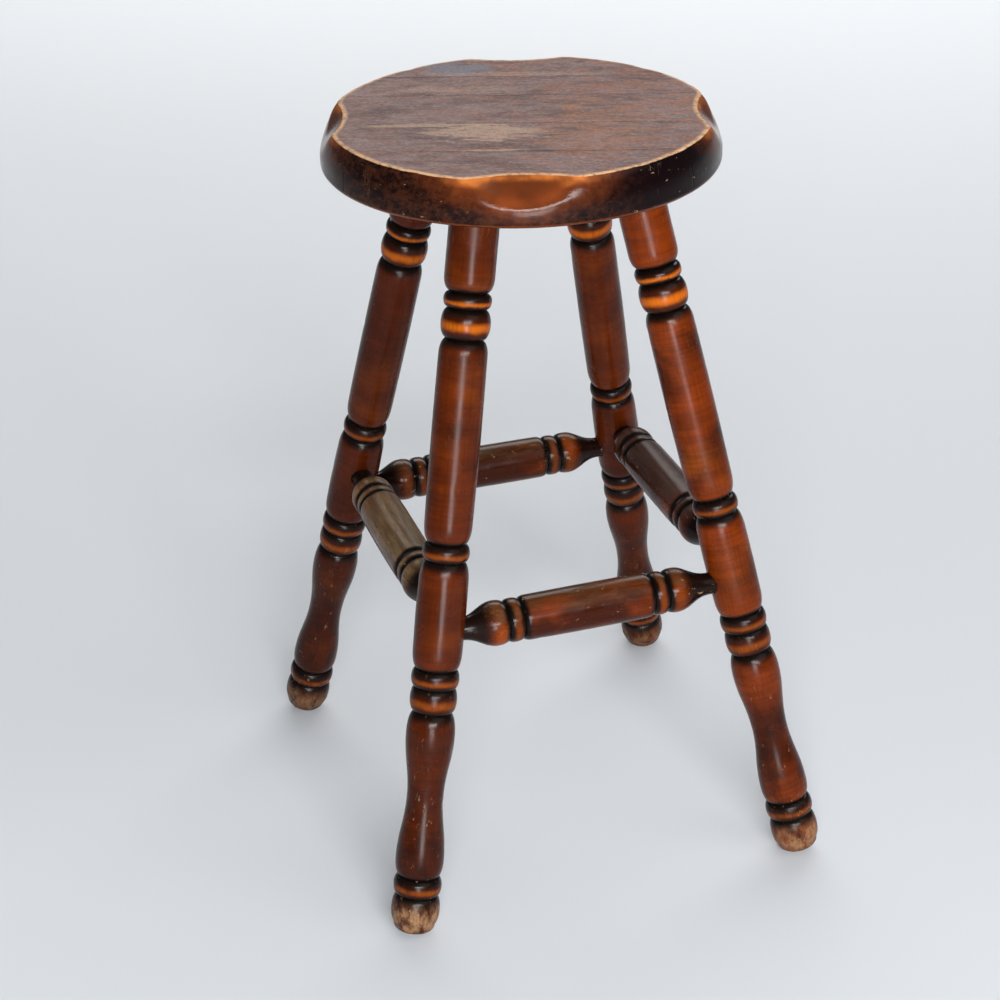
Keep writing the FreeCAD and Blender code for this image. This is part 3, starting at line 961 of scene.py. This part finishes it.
def seat_face_colour(wood, shift, grain, streak):
    """Worn top: dull brown with pale rubbed patches, stains, a painted bluish reflection towards
    the back, and scratches along the grain.
    """
    cloud = wood.noise((20, 48, 30), shift, detail=8.0, rough=0.72)
    rust = wood.noise((34, 130, 60), (7, 3, 1), detail=8.0, rough=0.72)
    speck = wood.noise((330, 620, 500), shift, rough=0.6)
    colour = wood.mix(wood.ramp(cloud, 0.36, 0.60), SEAT_DARK, SEAT_TONE)
    right = wood.ramp(wood.axes()[0], -0.12, 0.12, 0.40, 1.0)
    colour = wood.lay(colour, SEAT_RUST, wood.ramp(rust, 0.45, 0.60), right)
    colour = wood.mix(wood.ramp(streak, 0.50, 0.70, 0.0, 0.48), colour, SEAT_DARK)
    colour = wood.mix(wood.ramp(streak, 0.30, 0.42, 0.36, 0.0), colour, SEAT_TAN)
    coarse = wood.noise((38, 120, 30), (4, 9, 2), detail=6.0, rough=0.7)
    fine = wood.noise((70, 420, 90), (1, 5, 8), detail=6.0, rough=0.7)
    ragged = wood.math("MULTIPLY_ADD", wood.math("SUBTRACT", fine, 0.5), 0.9, coarse)
    for centre, size, tone, strength, jagged in FACE_PATCHES:
        mask = wood.patch(centre, size, ragged, jagged)
        colour = wood.lay(colour, tone, mask, strength)

    # Broken dark line along each joint, then specks and grain over everything
    across = wood.axes()[1]
    for joint in BOARD_JOINTS:
        distance = wood.math("ABSOLUTE", wood.math("SUBTRACT", across, joint * MM))
        line = wood.ramp(distance, 0.0003, 0.0010, 0.75, 0.0)
        broken = wood.ramp(coarse, 0.46, 0.56)
        colour = wood.lay(colour, WALL_BROWN, line, broken)
    colour = wood.mix(wood.ramp(speck, 0.36, 0.50, 0.50, 0.0), colour, SEAT_DARK)
    colour = wood.mix(wood.ramp(speck, 0.52, 0.68, 0.0, 0.30), colour, SEAT_TAN)
    return wood.mix(wood.ramp(grain, 0.38, 0.60, 0.20, 0.0), colour, SEAT_DARK)


def seat_wall_colour(wood, shift):
    """Dark varnished wall, rubbed brown in places and most of all at the front left, and
    chipped and scratched away from the scallops. Gives its chips and scratches too."""
    x, y, _ = wood.axes()
    mottled = wood.noise((120, 120, 150), (3, 8, 5), detail=9.0, rough=0.80, twist=0.2)
    front_left = wood.ramp(wood.math("ADD", x, wood.times(y, 2.0)), -0.12, -0.30)
    rubbed = wood.ramp(mottled, 0.58, 0.74, 0.0, 0.7)
    rubbed_front = wood.ramp(mottled, 0.42, 0.60, 0.05, 0.90)
    brown = wood.between(front_left, rubbed, rubbed_front)
    colour = wood.mix(brown, WALL_BLACK, WALL_BROWN)
    chips = wood.ramp(wood.noise((140, 140, 210), (2, 4, 6), detail=6.0, rough=0.7), 0.66, 0.70)
    plain = wood.ramp(wood.layer("scoop"), -12.0, -8.0, 1.0, 0.0)
    chips = wood.times(chips, plain)
    colour = wood.lay(colour, BARE_WOOD, chips, 0.65)
    marks = wood.scratches((150, 150, 22), (5, 2, 9), width=0.006, gather=0.56)
    marks = wood.times(marks, plain)
    return wood.lay(colour, BARE_WOOD, marks, 0.36), chips, marks


def seat_material(name, seed):
    """Worn face and dark wall, a bare line along the edge between them, and rubbed scallops."""
    wood = Shader(name)
    shift = (seed * 1.3, seed * 2.1, seed * 0.7)
    rim = wood.layer("rim")
    scoop = wood.layer("scoop")
    grain = wood.noise((130, 900, 500), shift)
    streak = wood.noise((58, 290, 160), shift, detail=6.0, rough=0.70)
    face = seat_face_colour(wood, shift, grain, streak)
    wall, chips, marks = seat_wall_colour(wood, shift)

    # Scallops: red brown inside, fading out on the wall round them, and brightest at the lip
    wander = wood.noise(70, (9, 4, 3), detail=4.0, rough=0.6)
    soft_scoop = wood.jitter(scoop, wander, 10.0)
    cloud = wood.noise(50, (6, 6, 2), detail=5.0)
    scoop_tone = wood.mix(cloud, WALL_BROWN, SCOOP_RED)
    halo = wood.times(wood.ramp(soft_scoop, -14.0, -3.0, 0.0, 0.50),
                      wood.noise(120, (8, 1, 3), detail=6.0, rough=0.7))
    wall = wood.mix(halo, wall, SCOOP_RED)
    wall = wood.mix(wood.ramp(soft_scoop, -5.0, 2.5), wall, scoop_tone)
    lip = wood.times(wood.ramp(soft_scoop, -7.0, 0.0), wood.ramp(rim, 2.0, 11.0, 1.0, 0.0))
    blotch = wood.ramp(wood.noise(55, (2, 7, 7), detail=5.0), 0.40, 0.62)
    lip = wood.times(lip, wood.math("MULTIPLY_ADD", blotch, 0.55, 0.20))
    wall = wood.mix(lip, wall, SCOOP_GLOW)
    wall = wood.mix(wood.ramp(scoop, 2.5, 8.0, 0.0, 0.45), wall, WALL_BROWN)

    # The edge between face and wall, worn to a broken line of bare wood, and a thin line below
    edge_at = wood.jitter(rim, wander, 2.4)
    past = wood.ramp(edge_at, -0.4, 0.9)
    colour = wood.mix(past, face, wall)
    line_in = wood.ramp(edge_at, -4.8, -1.4)
    line_out = wood.ramp(edge_at, 0.3, 1.6, 1.0, 0.0)
    broken = wood.noise(150, (1, 2, 3), detail=4.0, rough=0.7)
    line = wood.times(line_in, line_out)
    line = wood.times(line, wood.ramp(broken, 0.32, 0.56, 0.20, 1.0))
    colour = wood.mix(line, colour, EDGE_TAN)
    height = wood.axes()[2]
    low_line = wood.times(wood.ramp(height, -0.0362, -0.0350),
                          wood.ramp(height, -0.0345, -0.0330, 1.0, 0.0))
    colour = wood.lay(colour, SCOOP_RED, low_line, 0.4)

    # Matt face, glossy wall, glossiest in the scallops
    matt = wood.ramp(streak, 0.3, 0.7, 0.50, 0.68)
    gloss = wood.ramp(wander, 0.35, 0.65, 0.14, 0.22)
    polish = wood.ramp(scoop, -6.0, -1.0, 0.0, -0.06)
    gloss = wood.math("ADD", gloss, polish)
    rough = wood.between(past, matt, gloss)
    rough = wood.math("MAXIMUM", rough, wood.times(line, 0.5))
    wood.relief((grain, 0.08), (streak, 0.10), (chips, -0.2), (marks, -0.15))
    return wood.finish(colour, rough, SEAT_SPECULAR)


# ---- the pieces

def leg_matrix(side_x, side_y):
    """A leg's own Z runs up along it. The sides are -1 or 1."""
    direction = Vector((-side_x * LEAN_X, -side_y * LEAN_Y, 1)).normalized()
    turn = Vector((0, 0, 1)).rotation_difference(direction).to_matrix().to_4x4()
    foot = Vector((side_x * FOOT_X, side_y * FOOT_Y, 0)) * MM
    return Matrix.Translation(foot) @ turn


def leg_axis_at(height):
    """How far a leg's axis is from the middle, in x and in y."""
    return FOOT_X - LEAN_X * height, FOOT_Y - LEAN_Y * height


def stretcher_matrix(name):
    """A stretcher's own Z runs along it, and its own X is up."""
    shift = STRETCHER_SHIFTS[name]
    side = -1 if name in ("front", "left") else 1
    if name in ("front", "back"):
        height = ACROSS_STRETCHER_HEIGHT
        middle = Vector((shift, side * leg_axis_at(height)[1], height))
        along = Vector((1, 0, 0))
    else:
        height = SIDE_STRETCHER_HEIGHT
        middle = Vector((side * leg_axis_at(height)[0], shift, height))
        along = Vector((0, 1, 0))
    up = Vector((0, 0, 1))
    turn = Matrix((up, along.cross(up), along)).transposed().to_4x4()
    return Matrix.Translation(middle * MM) @ turn


def rest_on_floor(piece):
    """Wears the low side of a foot flat on the floor."""
    back = piece.matrix_world.inverted()
    for vert in piece.data.vertices:
        place = piece.matrix_world @ vert.co
        if place.z < 0:
            place.z = 0
            vert.co = back @ place


def make_stretchers():
    stretchers = []
    for seed, name in enumerate(STRETCHER_SHIFTS, start=1):
        bm = lathe(stretcher_outline(), STRETCHER_SEGMENTS)
        weather_turning(bm, seed + STRETCHER_SEED, STRETCHER_DENTS)
        piece = new_object("turned_stretcher_" + name, bm, stretcher_matrix(name))
        material = stretcher_material("wood_stretcher_" + name, seed, *STRETCHER_WEAR[name])
        dress(piece, material, TURNED_EDGE_ANGLE)
        stretchers.append(piece)
    return stretchers


def make_socket_cutter(outline, matrix):
    """The solid that a socket is cut with: a turned outline, a glue line larger all round."""
    wider = [(radius + GLUE_GAP if radius > 0 else 0, height) for radius, height in outline]
    return new_object("cut", lathe(wider, STRETCHER_SEGMENTS), matrix)


def make_legs():
    """The four legs, each with sockets for the two stretchers that stand in it."""
    outline, grooves = leg_outline()
    cutters = []
    for name in STRETCHER_SHIFTS:
        cutters.append(make_socket_cutter(stretcher_outline(), stretcher_matrix(name)))
    legs = []
    for side_y, depth in ((-1, "front"), (1, "back")):
        for side_x, side in ((-1, "left"), (1, "right")):
            seed = len(legs) + 1
            bm = lathe(outline, LEG_SEGMENTS)
            weather_turning(bm, seed, LEG_DENTS)
            name = depth + "_" + side
            leg = new_object("turned_leg_" + name, bm, leg_matrix(side_x, side_y))
            rest_on_floor(leg)
            for cutter, stretcher in zip(cutters, STRETCHER_SHIFTS):
                if stretcher in (depth, side):
                    subtract(leg, cutter)
            wear = (LEG_DEPTH[name], FOOT_WEAR[name])
            dress(leg, leg_material("wood_leg_" + name, seed, grooves, *wear), TURNED_EDGE_ANGLE)
            legs.append(leg)
    remove(*cutters)
    return legs


def make_seat_boards():
    """The five boards of the seat, with sockets for the plain upper ends of the legs."""
    top = (SEAT_HEIGHT - SEAT_THICKNESS + LEG_SOCKET_DEPTH) * LEG_AXIS
    radius = LEG_TOP_RADIUS
    peg = [(0, top / 2), (radius, top / 2), (radius, top), (0, top)]
    cutters = [make_socket_cutter(peg, leg_matrix(x, y)) for x in (-1, 1) for y in (-1, 1)]
    place = Vector((*SEAT_CENTRE, SEAT_HEIGHT)) * MM
    matrix = Matrix.Translation(place) @ Matrix.Rotation(math.radians(GRAIN_ANGLE), 4, "Z")
    blank = seat_blank()
    boards = []
    for index, name in enumerate(BOARD_NAMES):
        board = new_object("worn_board_" + name, part_board(blank, index), matrix)
        for cutter in cutters:
            subtract(board, cutter)
        dress(board, seat_material("wood_board_" + name, index + 1), BOARD_EDGE_ANGLE)
        boards.append(board)
    blank.free()
    remove(*cutters)
    return boards


def attach(piece, node):
    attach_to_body(piece, "root")
    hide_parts(node)


def make_stool():
    for piece, name in zip(make_seat_boards(), BOARD_NAMES):
        attach(piece, "seat_board_" + name)
    for piece in make_legs():
        attach(piece, piece.name.removeprefix("turned_"))
    for piece in make_stretchers():
        attach(piece, piece.name.removeprefix("turned_"))


# ---- floor and light
# Places and sizes are in metres

FLOOR_HALF_SIZE = 9
FLOOR_TONES = ((0.550, 0.573, 0.608), (0.580, 0.600, 0.632))
FLOOR_ROUGHNESS = 0.75
KEY_FROM = (0.62, -0.78, 1.05)
KEY_POWER = 0.70
KEY_SPREAD = 50
# Name, place, aim, width, height, power and colour
SOFT_LIGHTS = (
    ("window", (-0.45, -2.85, 1.45), (0, 0, 0.45), 2.0, 0.36, 116, (1, 1, 1)),
    ("door", (-0.72, -2.95, 0.45), (0, 0, 0.40), 0.80, 1.0, 54, (1, 1, 1)),
    ("backdrop", (1.6, 3.4, 3.0), (1.3, 2.7, 0), 5.5, 2.0, 205, (1.0, 0.985, 0.95)),
)
WORLD_COLOUR = (0.90, 0.95, 1.0, 1)
WORLD_STRENGTH = 0.16


def floor_material():
    paper = Shader("paper_floor")
    tone = paper.noise(1.2)
    colour = paper.mix(tone, *FLOOR_TONES)
    paper.relief((paper.noise(300, detail=2.0), 0.02))
    return paper.finish(colour, FLOOR_ROUGHNESS, FLOOR_SPECULAR)


def make_floor():
    bm = bmesh.new()
    bmesh.ops.create_grid(bm, x_segments=1, y_segments=1, size=FLOOR_HALF_SIZE)
    floor = new_object("floor", bm)
    floor.data.materials.append(floor_material())


def add_light(name, place, aim, width, height, power, colour):
    data = bpy.data.lights.new(name, "AREA")
    data.shape = "RECTANGLE"
    data.size = width
    data.size_y = height
    data.energy = power
    data.color = colour
    light = add_to_scene(name, data)
    light.location = place
    direction = Vector(aim) - Vector(place)
    light.rotation_euler = direction.to_track_quat("-Z", "Y").to_euler()


def make_light():
    """Key light from the right front, two that put the highlights on the turned work, one for
    the far floor, and a faint sky."""
    data = bpy.data.lights.new("key", "SUN")
    data.energy = KEY_POWER
    data.angle = math.radians(KEY_SPREAD)
    key = add_to_scene("key", data)
    direction = -Vector(KEY_FROM)
    key.rotation_euler = direction.to_track_quat("-Z", "Y").to_euler()
    for light in SOFT_LIGHTS:
        add_light(*light)
    world = bpy.data.worlds.new("studio")
    world.use_nodes = True
    background = world.node_tree.nodes["Background"]
    background.inputs["Color"].default_value = WORLD_COLOUR
    background.inputs["Strength"].default_value = WORLD_STRENGTH
    bpy.context.scene.world = world
    bpy.context.scene.view_settings.view_transform = "Standard"


make_camera()
make_stool()
make_floor()
make_light()
